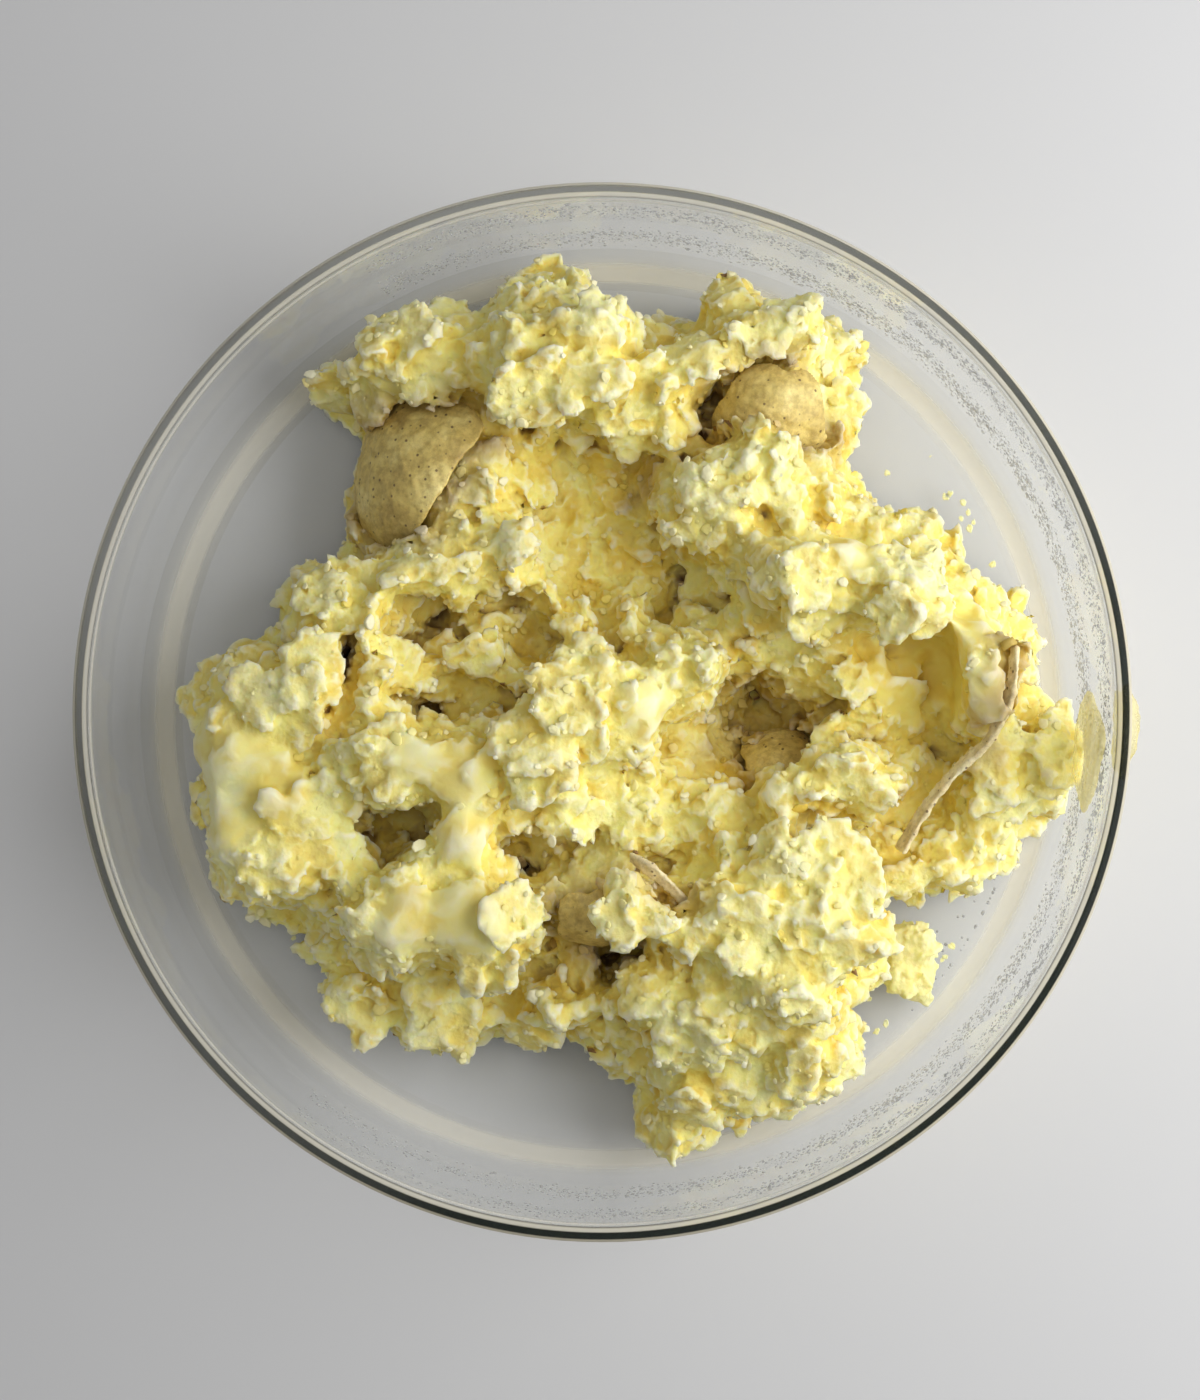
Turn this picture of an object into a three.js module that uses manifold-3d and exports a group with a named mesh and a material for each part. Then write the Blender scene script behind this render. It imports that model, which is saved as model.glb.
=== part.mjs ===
// Roughly crushed potato in a round clear glass dish, with pieces of potato skin in it.
// Millimetres, +Z up. The origin is the middle of the dish's flat underside.
import * as THREE from "three";
import { mergeVertices } from "three/addons/utils/BufferGeometryUtils.js";
import { ImprovedNoise } from "three/addons/math/ImprovedNoise.js";
import { triTable } from "three/addons/objects/MarchingCubes.js";
import Module from "manifold-3d";

const wasm = await Module();
wasm.setup();

// Driving dimensions of the dish.
const RIM_RADIUS = 100;
const DISH_HEIGHT = 72;
const FLOOR_THICKNESS = 5;
const RIM_THICKNESS = 3.6;
const BEAD_HEIGHT = 7; // the thickened band round the rim
const BEAD_STEP = 1; // how far the band stands out from the wall
const WALL_THICKNESS = 3.4;
const WALL_DRAFT = 1.8; // how much smaller the wall's radius is at its foot
const INNER_FILLET = 7.5;
const OUTER_FILLET = 11;
const ROUND_STEPS = 72; // facets round the dish

// The heap's surface is found on a grid of this pitch, and no edge shorter than this is left on it.
const GRID = 3.6;
const SHORTEST_EDGE = 3.3;

// The potato keeps this far from the glass and from each piece of skin.
const GAP = 0.35;
const SKIN_THICKNESS = 0.9;
const FACET_SAG = 0.12; // how far a flat facet of a rounded piece lies inside its true curve

const inner = {
  top: RIM_RADIUS - RIM_THICKNESS,
  foot: RIM_RADIUS - BEAD_STEP - WALL_DRAFT - WALL_THICKNESS,
};
const outer = {
  top: RIM_RADIUS - BEAD_STEP,
  foot: RIM_RADIUS - BEAD_STEP - WALL_DRAFT,
};

// ---- small helpers ----

const radians = THREE.MathUtils.degToRad;

const perlin = new ImprovedNoise();

function bareMesh(geometry) {
  geometry.deleteAttribute("normal");
  geometry.deleteAttribute("uv");
  return mergeVertices(geometry, 1e-4);
}

function solidOf(geometry) {
  const merged = bareMesh(geometry);
  return new wasm.Manifold(
    new wasm.Mesh({
      numProp: 3,
      vertProperties: new Float32Array(merged.attributes.position.array),
      triVerts: new Uint32Array(merged.index.array),
    }),
  );
}

function geometryOf(solid) {
  const { vertProperties, triVerts } = solid.getMesh();
  const geometry = new THREE.BufferGeometry();
  geometry.setAttribute("position", new THREE.BufferAttribute(vertProperties, 3));
  geometry.setIndex(new THREE.BufferAttribute(triVerts, 1));
  geometry.computeVertexNormals();
  return geometry;
}

function joined(solids) {
  if (solids.length === 1) return solids[0];
  const half = Math.ceil(solids.length / 2);
  return joined(solids.slice(0, half)).add(joined(solids.slice(half)));
}

const largestBody = (solid) =>
  solid.decompose().reduce((a, b) => (a.volume() > b.volume() ? a : b));

// The same solid with its short edges shrunk to a point, wherever that leaves the surface closed
// and turns no face by more than an angle.
function withoutShortEdges(solid, shortest) {
  const PASSES = 4;
  const MOST_TURN = 0.7;
  const NO_AREA = 0.02;
  const { vertProperties, triVerts } = solid.getMesh();
  const points = [];
  for (let i = 0; i < vertProperties.length; i += 3)
    points.push(new THREE.Vector3().fromArray(vertProperties, i));
  const faces = [];
  for (let i = 0; i < triVerts.length; i += 3) faces.push([...triVerts.subarray(i, i + 3)]);
  const around = points.map(() => new Set());
  faces.forEach((face, f) => face.forEach((v) => around[v].add(f)));

  const neighbours = (v) => new Set([...around[v]].flatMap((f) => faces[f]).filter((w) => w !== v));
  const facing = (face, swap, place) => {
    const [a, b, c] = face.map((v) => (swap.includes(v) ? place : points[v]));
    return b.clone().sub(a).cross(c.clone().sub(a));
  };
  const staysTrue = (swap, place) =>
    [...new Set(swap.flatMap((v) => [...around[v]]))]
      .filter((f) => !swap.every((v) => faces[f].includes(v)))
      .every((f) => {
        const before = facing(faces[f], [], place);
        const after = facing(faces[f], swap, place);
        if (after.length() < NO_AREA) return false;
        return before.length() < NO_AREA || before.angleTo(after) < MOST_TURN;
      });
  const shrink = (keep, drop, place) => {
    for (const f of [...around[drop]]) {
      if (faces[f].includes(keep)) {
        faces[f].forEach((v) => around[v].delete(f));
        faces[f] = null;
      } else {
        faces[f] = faces[f].map((v) => (v === drop ? keep : v));
        around[keep].add(f);
      }
    }
    around[drop].clear();
    points[keep].copy(place);
  };

  for (let pass = 0; pass < PASSES; pass++) {
    const edges = faces
      .filter(Boolean)
      .flatMap(([a, b, c]) => [[a, b], [b, c], [c, a]])
      .filter(([a, b]) => a < b)
      .map(([a, b]) => ({ a, b, long: points[a].distanceTo(points[b]) }))
      .filter(({ long }) => long < shortest)
      .sort((p, q) => p.long - q.long);
    for (const { a, b } of edges) {
      if (!around[a].size || !around[b].size) continue;
      if (points[a].distanceTo(points[b]) >= shortest) continue;
      const beside = neighbours(b);
      if (!beside.has(a)) continue;
      if ([...neighbours(a)].filter((v) => beside.has(v)).length !== 2) continue;
      const middle = points[a].clone().lerp(points[b], 0.5);
      const place = [middle, points[a].clone(), points[b].clone()].find((p) => staysTrue([a, b], p));
      if (place) shrink(a, b, place);
    }
  }
  const geometry = new THREE.BufferGeometry().setFromPoints(points);
  geometry.setIndex(faces.filter(Boolean).flat());
  return solidOf(geometry.toNonIndexed());
}

// A profile of [radius, height] points turned round the Z axis.
function turned(path, arcSteps) {
  const lathe = new THREE.LatheGeometry(path.getPoints(arcSteps), ROUND_STEPS);
  return lathe.rotateX(Math.PI / 2);
}

// ---- the dish ----

function wallRadius(side, z) {
  return THREE.MathUtils.mapLinear(z, 0, DISH_HEIGHT, side.foot, side.top);
}

function glassDish() {
  const beadFoot = DISH_HEIGHT - BEAD_HEIGHT;
  const lip = RIM_THICKNESS / 2;
  const filletZ = FLOOR_THICKNESS + INNER_FILLET;
  const path = new THREE.Path();
  path.moveTo(0, 0);
  path.lineTo(outer.foot - OUTER_FILLET, 0);
  path.absarc(outer.foot - OUTER_FILLET, OUTER_FILLET, OUTER_FILLET, -Math.PI / 2, 0, false);
  path.lineTo(wallRadius(outer, beadFoot), beadFoot);
  path.lineTo(RIM_RADIUS, beadFoot + BEAD_STEP);
  path.absarc(RIM_RADIUS - lip, DISH_HEIGHT - lip, lip, 0, Math.PI, false);
  path.lineTo(wallRadius(inner, filletZ), filletZ);
  path.absarc(wallRadius(inner, filletZ) - INNER_FILLET, filletZ, INNER_FILLET, 0, -Math.PI / 2, true);
  path.lineTo(0, FLOOR_THICKNESS);
  return turned(path, 2);
}

// The room inside the dish, kept clear of the glass by the gap.
function roomForPotato() {
  const filletZ = FLOOR_THICKNESS + INNER_FILLET;
  const fillet = INNER_FILLET - GAP;
  const filletX = wallRadius(inner, filletZ) - INNER_FILLET;
  const path = new THREE.Path();
  path.moveTo(0, FLOOR_THICKNESS + GAP);
  path.lineTo(filletX, FLOOR_THICKNESS + GAP);
  path.absarc(filletX, filletZ, fillet, -Math.PI / 2, 0, false);
  path.lineTo(inner.top - GAP, DISH_HEIGHT);
  path.lineTo(0, DISH_HEIGHT);
  return solidOf(turned(path, 2));
}

// ---- the heap of potato ----
// It is made of lumps, each a stub wall with a rounded top that stands along a line on the floor.
// from and to are the line's ends, width is half the lump's width, top its height above the table,
// rough how far its skin of crumbs pushes in and out, and flare how much it widens downwards.

const CRUMB = 2.4;
const SMOOTH = 0.7;

// The low body of the heap, under the crests.
const MOUNDS = [
  { at: [-8, 28], size: [46, 44], top: 22 },
  { at: [-42, -10], size: [34, 30], top: 24 },
  { at: [-22, -38], size: [32, 26], top: 22 },
  { at: [18, -42], size: [26, 34], top: 26 },
  { at: [50, 12], size: [28, 22], top: 22 },
  { at: [64, -12], size: [22, 16], top: 20 },
];

const CRESTS = [
  // north side, from west to east
  { from: [-41, 70], to: [-33, 71], width: 9.5, top: 38 },
  { from: [-15, 70], to: [-4, 69], width: 10, top: 46 },
  { from: [-12, 64], to: [1, 65], width: 6.5, top: 47 },
  { from: [-16, 80], to: [-7, 82], width: 6, top: 33 },
  { from: [5, 67], to: [16, 72], width: 6.5, top: 26 },
  { from: [25, 80], to: [38, 75], width: 6.5, top: 31 },
  { from: [15, 67], to: [36, 75], width: 4.8, top: 42 },
  { from: [3, 58], to: [13, 58], width: 5.5, top: 38 },
  // east side, from north to south
  { from: [19, 41], to: [30, 51], width: 8, top: 46 },
  { from: [42, 42], to: [62, 31], width: 7, top: 37 },
  { from: [65, 24], to: [74, 18], width: 7.5, top: 30 },
  { from: [36, 30], to: [61, 23], width: 7.5, top: 52 },
  { from: [28, 18], to: [50, 10], width: 7.5, top: 33 },
  { from: [34, -17], to: [52, -12], width: 6.2, top: 42 },
  { from: [76, -15], to: [85, -12], width: 8.5, top: 35 },
  { from: [57, -30], to: [71, -27], width: 8, top: 29 },
  // the middle
  { from: [-12, -8], to: [4, 0], width: 9, top: 46 },
  { from: [8, 4], to: [18, 9], width: 6.5, top: 43 },
  { from: [5, -20], to: [20, -23], width: 8.5, top: 36 },
  // west side, from north to south
  { from: [-46, 26], to: [-23, 45], width: 4.6, top: 35 },
  { from: [-53, 21], to: [-20, 32], width: 7, top: 40 },
  { from: [-67, -3], to: [-64, -24], width: 14.5, top: 42, rough: SMOOTH },
  { from: [-42, -8], to: [-26, -10], width: 9.5, top: 47, rough: SMOOTH },
  { from: [-40, -40], to: [-22, -39], width: 11, top: 48, rough: SMOOTH },
  // south side, from west to east
  { from: [-48, -53], to: [-13, -58], width: 8, top: 24 },
  { from: [6, -36], to: [11, -44], width: 5, top: 49 },
  { from: [37, -28], to: [43, -42], width: 9, top: 50 },
  { from: [24, -41], to: [35, -50], width: 11, top: 49 },
  { from: [16, -58], to: [38, -60], width: 10, top: 43 },
  { from: [22, -72], to: [36, -70], width: 9.5, top: 34 },
];

// Single lumps.
const LUMPS = [
  { at: [-51, 67], size: [5, 3.5], top: 28 },
  { at: [-46, 60], size: [3.5, 5], top: 24 },
  { at: [-33, 63], size: [4, 4], top: 36 },
  { at: [45, 73], size: [7.5, 3.5], top: 24 },
  { at: [22, 34], size: [7, 7], top: 41 },
  { at: [38, 46], size: [6, 6], top: 42 },
  { at: [41, 51], size: [4.5, 4.5], top: 36 },
  { at: [83, 15], size: [4.5, 4.5], top: 25 },
  { at: [37, 21], size: [3.6, 5], top: 49 },
  { at: [47, 21], size: [4, 4], top: 48 },
  { at: [52, 2], size: [5.5, 5.5], top: 34 },
  { at: [75, 7], size: [6.5, 12], top: 46, rough: SMOOTH },
  { at: [87, -4], size: [3.6, 3.6], top: 30 },
  { at: [76, -22], size: [7, 7], top: 30 },
  { at: [-9, -18], size: [7.5, 7.5], top: 42 },
  { at: [-6, 6], size: [8, 8], top: 44 },
  { at: [-11, 23], size: [4.5, 3.5], top: 32 },
  { at: [-2, 16], size: [4, 4], top: 32 },
  { at: [5, 19], size: [3.5, 5], top: 33 },
  { at: [-25, 12], size: [7.5, 4.5], top: 33 },
  { at: [-27, -23], size: [9, 10], top: 47, rough: SMOOTH },
  { at: [-50, -43], size: [4.5, 2.6], top: 45 },
  { at: [-57, 6], size: [5, 5], top: 43 },
  { at: [-53, -28], size: [7.5, 7.5], top: 36 },
  { at: [-45, 9], size: [4, 8], top: 42 },
  { at: [-39, 8], size: [3.5, 7], top: 35 },
  { at: [-65, 15], size: [4.5, 4.5], top: 15 },
  { at: [-60, 21], size: [6.5, 6.5], top: 21 },
  { at: [-55, 13], size: [6.5, 6.5], top: 22 },
  { at: [-6, -58], size: [7.5, 4.5], top: 34 },
  { at: [6, -53], size: [7.5, 7.5], top: 38 },
  { at: [17, -84], size: [7, 5.5], top: 25 },
  { at: [45, -66], size: [6, 6], top: 26 },
  { at: [-57, -44], size: [6.5, 5.5], top: 17 },
];

// Hollows between the lumps: at is the middle of the mouth, bottom how far down they go.
const HOLLOWS = [
  { at: [-35, 18], size: [6.5, 5.5], bottom: 10 },
  { at: [31, 1], size: [8, 4.5], bottom: 8, turn: -25 },
  { at: [15, 23], size: [4, 7], bottom: 13 },
  { at: [2, -46], size: [6.5, 4], bottom: 9 },
  { at: [18, 59], size: [3.6, 6], bottom: 20 },
  { at: [-39, -21], size: [8, 4.5], bottom: 19 },
  { at: [-34, 2], size: [5, 4], bottom: 15 },
  { at: [41, -23], size: [4, 3], bottom: 16 },
  { at: [-17, -30], size: [4, 5], bottom: 15 },
];

// A single lump is a crest along its own longer side.
function standing({ at, size, turn = 0, ...rest }) {
  const [long, short] = [Math.max(...size), Math.min(...size)];
  const way = radians(turn + (size[1] > size[0] ? 90 : 0));
  const reach = [Math.cos(way) * (long - short), Math.sin(way) * (long - short)];
  const from = [at[0] - reach[0], at[1] - reach[1]];
  const to = [at[0] + reach[0], at[1] + reach[1]];
  return { from, to, width: short, ...rest };
}

function distanceToLine(x, y, [ax, ay], [bx, by]) {
  const [dx, dy] = [bx - ax, by - ay];
  const long = dx * dx + dy * dy;
  const t = long ? THREE.MathUtils.clamp(((x - ax) * dx + (y - ay) * dy) / long, 0, 1) : 0;
  return Math.hypot(x - ax - t * dx, y - ay - t * dy);
}

// How far a point is outside a lump; less than nothing inside it.
function outsideLump(x, y, z, { from, to, width, top, flare = 0.03 }) {
  const shoulder = Math.min(0.75 * width, 7);
  const spread = flare * Math.max(0, top - z);
  const across = distanceToLine(x, y, from, to) - width - spread + shoulder;
  const above = z - top + shoulder;
  const corner = Math.hypot(Math.max(across, 0), Math.max(above, 0));
  return corner + Math.min(Math.max(across, above), 0) - shoulder;
}

function outsideHollow(x, y, z, { from, to, width, bottom }) {
  const across = distanceToLine(x, y, from, to) - width * Math.min(1, 0.5 + 0.05 * (z - bottom));
  return Math.max(across, bottom - z);
}

function outsideBall(x, y, z, { middle, radii }) {
  const reach = Math.hypot(...[x, y, z].map((w, i) => (w - middle[i]) / radii[i]));
  return (reach - 1) * Math.min(...radii);
}

// The lesser of two distances, rounded off where they meet.
function blended(a, b, round) {
  const near = Math.max(round - Math.abs(a - b), 0) / round;
  return Math.min(a, b) - (near * near * round) / 4;
}

// Noise of a given wavelength in millimetres, between about -1 and 1.
const noise = (x, y, z, wave, seed) => perlin.noise(x / wave + seed, y / wave, z / wave + seed);

// The lumps run into each other, the whole is bent a little out of true, and crumbs roughen it.
function outsideHeap(x, y, z, lumps, hollows, balls) {
  const BLEND = 2.2;
  const BEND = { wave: 15, side: 3.4, height: 2 };
  const wx = x + BEND.side * noise(x, y, z, BEND.wave, 3);
  const wy = y + BEND.side * noise(x, y, z, BEND.wave, 31);
  const wz = z + BEND.height * noise(x, y, z, BEND.wave, 57);
  const crumbs = noise(x, y, z, 9, 11) + 0.35 * noise(x, y, z, 6, 71);
  let d = Infinity;
  for (const lump of lumps) {
    const own = outsideLump(wx, wy, wz, lump) + (lump.rough ?? CRUMB) * crumbs;
    d = d === Infinity ? own : blended(d, own, BLEND);
  }
  for (const hole of hollows) d = -blended(-d, outsideHollow(wx, wy, wz, hole), BLEND);
  for (const ball of balls) d = Math.min(d, outsideBall(x, y, z, ball));
  return Math.max(d, FLOOR_THICKNESS - 1 - z, Math.hypot(x, y) - inner.top);
}

// The closed surface where a distance is nothing, found cube by cube inside a box.
function surfaceWhere(distance, low, high, pitch) {
  const LEAST = 0.04; // no point lies nearer than this part of an edge to its end
  const count = [0, 1, 2].map((k) => Math.ceil((high[k] - low[k]) / pitch) + 1);
  const step = [1, count[0], count[0] * count[1]];
  const value = new Float64Array(count[0] * count[1] * count[2]);
  const placeOf = (i) => {
    const cell = [i % count[0], Math.floor(i / step[1]) % count[1], Math.floor(i / step[2])];
    return cell.map((c, k) => low[k] + c * pitch);
  };
  for (let i = 0; i < value.length; i++) value[i] = distance(...placeOf(i));

  // A cube's corners go round its low face, then its high face. Its edges go round them the same
  // way, then up its sides, each from its lower corner.
  const SQUARE = [[0, 0], [1, 0], [1, 1], [0, 1]];
  const ROUND = [[0, 1], [1, 2], [3, 2], [0, 3]];
  const corners = [0, 1].flatMap((z) => SQUARE.map(([x, y]) => [x, y, z]));
  const edges = [
    ...ROUND,
    ...ROUND.map(([a, b]) => [a + 4, b + 4]),
    ...SQUARE.map((_, k) => [k, k + 4]),
  ];
  const offset = corners.map((c) => c[0] * step[0] + c[1] * step[1] + c[2] * step[2]);
  const points = [];
  const known = new Map();
  const crossing = (i, edge) => {
    const [a, b] = edges[edge].map((corner) => i + offset[corner]);
    const key = a * 3 + step.indexOf(b - a);
    if (!known.has(key)) {
      const t = THREE.MathUtils.clamp(value[a] / (value[a] - value[b]), LEAST, 1 - LEAST);
      const place = new THREE.Vector3(...placeOf(a)).lerp(new THREE.Vector3(...placeOf(b)), t);
      known.set(key, points.push(place) - 1);
    }
    return known.get(key);
  };
  const index = [];
  for (let z = 0; z < count[2] - 1; z++)
    for (let y = 0; y < count[1] - 1; y++)
      for (let x = 0; x < count[0] - 1; x++) {
        const i = x * step[0] + y * step[1] + z * step[2];
        const code = offset.reduce((sum, o, k) => sum + (value[i + o] > 0 ? 1 << k : 0), 0);
        for (let k = code * 16; triTable[k] !== -1; k++) index.push(crossing(i, triTable[k]));
      }
  const geometry = new THREE.BufferGeometry().setFromPoints(points);
  geometry.setIndex(index);
  return geometry.toNonIndexed();
}

// ---- pieces of skin ----

// A thin sheet with the same triangles on both faces. pointAt(u, v) gives a point of its middle face.
function sheet(columns, rows, thickness, pointAt) {
  const positions = [];
  const index = [];
  const NUDGE = 1e-3;
  const face = (side) => {
    for (let j = 0; j <= rows; j++)
      for (let i = 0; i <= columns; i++) {
        const [u, v] = [i / columns, j / rows];
        const p = pointAt(u, v);
        const across = pointAt(u + NUDGE, v).sub(pointAt(u - NUDGE, v));
        const along = pointAt(u, v + NUDGE).sub(pointAt(u, v - NUDGE));
        const normal = across.cross(along).normalize();
        positions.push(...p.addScaledVector(normal, (side * thickness) / 2).toArray());
      }
  };
  face(1);
  face(-1);
  const per = (columns + 1) * (rows + 1);
  const id = (i, j, low) => low * per + j * (columns + 1) + i;
  for (let j = 0; j < rows; j++)
    for (let i = 0; i < columns; i++) {
      const [a, b, c, d] = [id(i, j, 0), id(i + 1, j, 0), id(i + 1, j + 1, 0), id(i, j + 1, 0)];
      index.push(a, b, c, a, c, d);
      index.push(a + per, c + per, b + per, a + per, d + per, c + per);
    }
  const wall = (a, b) => index.push(a, a + per, b, b, a + per, b + per);
  for (let i = 0; i < columns; i++) {
    wall(id(i, 0, 0), id(i + 1, 0, 0));
    wall(id(i + 1, rows, 0), id(i, rows, 0));
  }
  for (let j = 0; j < rows; j++) {
    wall(id(columns, j, 0), id(columns, j + 1, 0));
    wall(id(0, j + 1, 0), id(0, j, 0));
  }
  const geometry = new THREE.BufferGeometry();
  geometry.setAttribute("position", new THREE.Float32BufferAttribute(positions, 3));
  geometry.setIndex(index);
  return geometry;
}

// A patch of skin on a round end of potato. middle is the ball's middle and radii its half sizes,
// facing the direction of the patch's own middle, and spread its half angles in degrees.
const PATCHES = {
  skin_patch_west: {
    middle: [-30, 46, 12],
    radii: [20, 21, 22],
    facing: { azimuth: 178, height: 62 },
    spread: [50, 46],
    narrowing: 0.62,
    grain: [8, 8],
  },
  skin_patch_east: {
    middle: [34, 61, 20],
    radii: [13, 11.5, 17],
    facing: { azimuth: 250, height: 66 },
    spread: [52, 58],
    grain: [9, 8],
  },
  skin_scrap_middle: {
    middle: [-3, -36, 22],
    radii: [12, 9, 14],
    facing: { azimuth: 285, height: 55 },
    spread: [38, 42],
    grain: [6, 6],
  },
  skin_scrap_hollow: {
    middle: [35, -13, 12],
    radii: [10, 9, 11],
    facing: { azimuth: 95, height: 48 },
    spread: [42, 42],
    grain: [5, 5],
  },
};

function facingTurn({ azimuth, height }) {
  const turn = new THREE.Quaternion().setFromAxisAngle(new THREE.Vector3(0, 0, 1), radians(azimuth));
  const tip = new THREE.Quaternion().setFromAxisAngle(new THREE.Vector3(0, 1, 0), radians(-height));
  return turn.multiply(tip);
}

// proud is how far outside the ball the sheet's middle face lies; extra grows its outline, in degrees.
function patchSheet(patch, thickness, proud, extra) {
  const turn = facingTurn(patch.facing);
  const middle = new THREE.Vector3(...patch.middle);
  const radii = new THREE.Vector3(...patch.radii);
  const [wide, high] = patch.spread.map((angle) => radians(angle + extra));
  return sheet(...patch.grain, thickness, (u, v) => {
    const height = 1 - (patch.narrowing ?? 0) * Math.max(0, u) ** 1.5;
    const [s, t] = [2 * u - 1, 2 * v * height - 1];
    const edge = 1 + 0.09 * Math.sin(5 * Math.atan2(t, s) + patch.middle[0]);
    const x = s * Math.sqrt(1 - (t * t) / 2.6) * wide * edge;
    const y = t * Math.sqrt(1 - (s * s) / 2.6) * high * edge;
    const out = new THREE.Vector3(Math.cos(x) * Math.cos(y), Math.sin(x) * Math.cos(y), Math.sin(y));
    out.applyQuaternion(turn);
    const onBall = out.clone().multiply(radii);
    const normal = out.clone().divide(radii).normalize();
    return onBall.add(middle).addScaledVector(normal, proud);
  });
}

// A ribbon of skin, standing out of the potato along a curve.
const RIBBONS = {
  skin_ribbon_east: {
    route: [[80, 13, 42], [79, 4, 43], [75, -5, 41], [68, -12, 38], [62, -20, 36], [58, -27, 35]],
    widths: [2, 4, 3.2, 3, 3.4, 4],
    lean: 62,
    steps: 16,
  },
  skin_ribbon_south: {
    route: [[5, -28, 41], [9, -30.5, 43], [13, -34, 42], [17, -38, 40]],
    widths: [2.5, 3, 2.6, 2],
    lean: 40,
    steps: 9,
  },
};

function ribbonSheet({ route, widths, lean, steps }, thickness, extra) {
  const line = new THREE.CatmullRomCurve3(route.map((p) => new THREE.Vector3(...p)));
  const up = new THREE.Vector3(0, 0, 1);
  return sheet(2, steps, thickness, (u, v) => {
    const t = THREE.MathUtils.clamp(v, 0, 1);
    const place = t * (widths.length - 1);
    const k = Math.min(Math.floor(place), widths.length - 2);
    const width = THREE.MathUtils.lerp(widths[k], widths[k + 1], place - k) + extra;
    const tangent = line.getTangent(t);
    const side = tangent.clone().cross(up).normalize();
    const across = side.applyAxisAngle(tangent, radians(lean));
    const reach = THREE.MathUtils.clamp(v, -1, 2) - t;
    return line.getPoint(t).addScaledVector(tangent, reach).addScaledVector(across, (u - 0.5) * width);
  });
}

// ---- the smears on the side of the dish ----

// A thin pat pressed on the wall, inside or outside it.
const SMEARS = {
  smear_inside: { side: inner, azimuth: -4.5, spread: 5.6, low: 40, high: 64, thick: 3.2, sign: -1 },
  smear_outside: { side: outer, azimuth: -2, spread: 5.2, low: 40, high: 62, thick: 3.6, sign: 1 },
};

function smear({ side, azimuth, spread, low, high, thick, sign }) {
  const steps = [8, 8];
  const middle = (high + low) / 2;
  const half = (high - low) / 2;
  const pat = sheet(...steps, thick, (u, v) => {
    const [s, t] = [2 * u - 1, 2 * v - 1];
    const x = s * Math.sqrt(1 - (t * t) / 2.4);
    const y = t * Math.sqrt(1 - (s * s) / 2.4);
    const wave = 1 + 0.13 * Math.sin(4 * Math.atan2(t, s) + azimuth);
    const a = radians(azimuth + x * spread * wave);
    const z = middle + y * half * wave;
    const r = wallRadius(side, z) + sign * (GAP + thick / 2);
    return new THREE.Vector3(r * Math.cos(a), r * Math.sin(a), z);
  });
  // The back stays against the wall and the front thins towards the edges.
  const place = pat.attributes.position;
  for (let i = 0; i < place.count; i++) {
    const [x, y, z] = [place.getX(i), place.getY(i), place.getZ(i)];
    const r = Math.hypot(x, y);
    const back = wallRadius(side, z) + sign * GAP;
    const depth = Math.abs(r - back);
    if (depth < thick / 2) continue;
    const s = (THREE.MathUtils.radToDeg(Math.atan2(y, x)) - azimuth) / (spread * 1.15);
    const t = (z - middle) / (half * 1.15);
    const bulge = Math.max(0.25, 1 - s * s - t * t + 0.25 * perlin.noise(y * 0.3, z * 0.3, 4));
    const scale = (back + sign * depth * bulge) / r;
    place.setXY(i, x * scale, y * scale);
  }
  return pat;
}

// ---- putting it together ----

const skinSolids = {};
const skinRooms = [];
for (const [name, patch] of Object.entries(PATCHES)) {
  const proud = FACET_SAG + GAP + SKIN_THICKNESS / 2;
  skinSolids[name] = patchSheet(patch, SKIN_THICKNESS, proud, 0);
  skinRooms.push(solidOf(patchSheet(patch, SKIN_THICKNESS + 2 * GAP, proud, 2.5)));
}
for (const [name, ribbon] of Object.entries(RIBBONS)) {
  skinSolids[name] = ribbonSheet(ribbon, SKIN_THICKNESS, 0);
  skinRooms.push(solidOf(ribbonSheet(ribbon, SKIN_THICKNESS + 2 * GAP, 2 * GAP)));
}

function crushedPotato() {
  const lumps = [...MOUNDS.map(standing), ...CRESTS, ...LUMPS.map(standing)];
  const hollows = HOLLOWS.map(standing);
  const balls = Object.values(PATCHES);
  const reach = inner.top + 2;
  const heap = surfaceWhere(
    (x, y, z) => outsideHeap(x, y, z, lumps, hollows, balls),
    [-reach, -reach, FLOOR_THICKNESS - 4],
    [reach, reach, DISH_HEIGHT - 6],
    GRID,
  );
  const clean = withoutShortEdges(solidOf(heap), SHORTEST_EDGE);
  return largestBody(clean.intersect(roomForPotato()).subtract(joined(skinRooms)));
}

function looseLump() {
  const lump = { from: [61, -52], to: [61, -48], width: 5, top: 13 };
  const ball = surfaceWhere(
    (x, y, z) => outsideHeap(x, y, z, [lump], [], []),
    [45, -65, FLOOR_THICKNESS - 3],
    [75, -38, 20],
    2.6,
  );
  return withoutShortEdges(solidOf(ball), 1.2).intersect(roomForPotato());
}

const glass = new THREE.MeshStandardMaterial({ color: 0xe8efe9, roughness: 0.05, metalness: 0 });
const flesh = new THREE.MeshStandardMaterial({ color: 0xe6d98a, roughness: 0.6, metalness: 0 });
const peel = new THREE.MeshStandardMaterial({ color: 0xb59a55, roughness: 0.7, metalness: 0 });

const part = new THREE.Group();

function add(name, geometry, material) {
  const mesh = new THREE.Mesh(geometry, material);
  mesh.name = name;
  part.add(mesh);
}

add("glass_dish", glassDish(), glass);
add("potato_heap", geometryOf(crushedPotato()), flesh);
add("loose_lump", geometryOf(looseLump()), flesh);
for (const [name, geometry] of Object.entries(skinSolids)) add(name, geometry, peel);
for (const [name, shape] of Object.entries(SMEARS)) add(name, smear(shape), flesh);

export default part;
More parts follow.
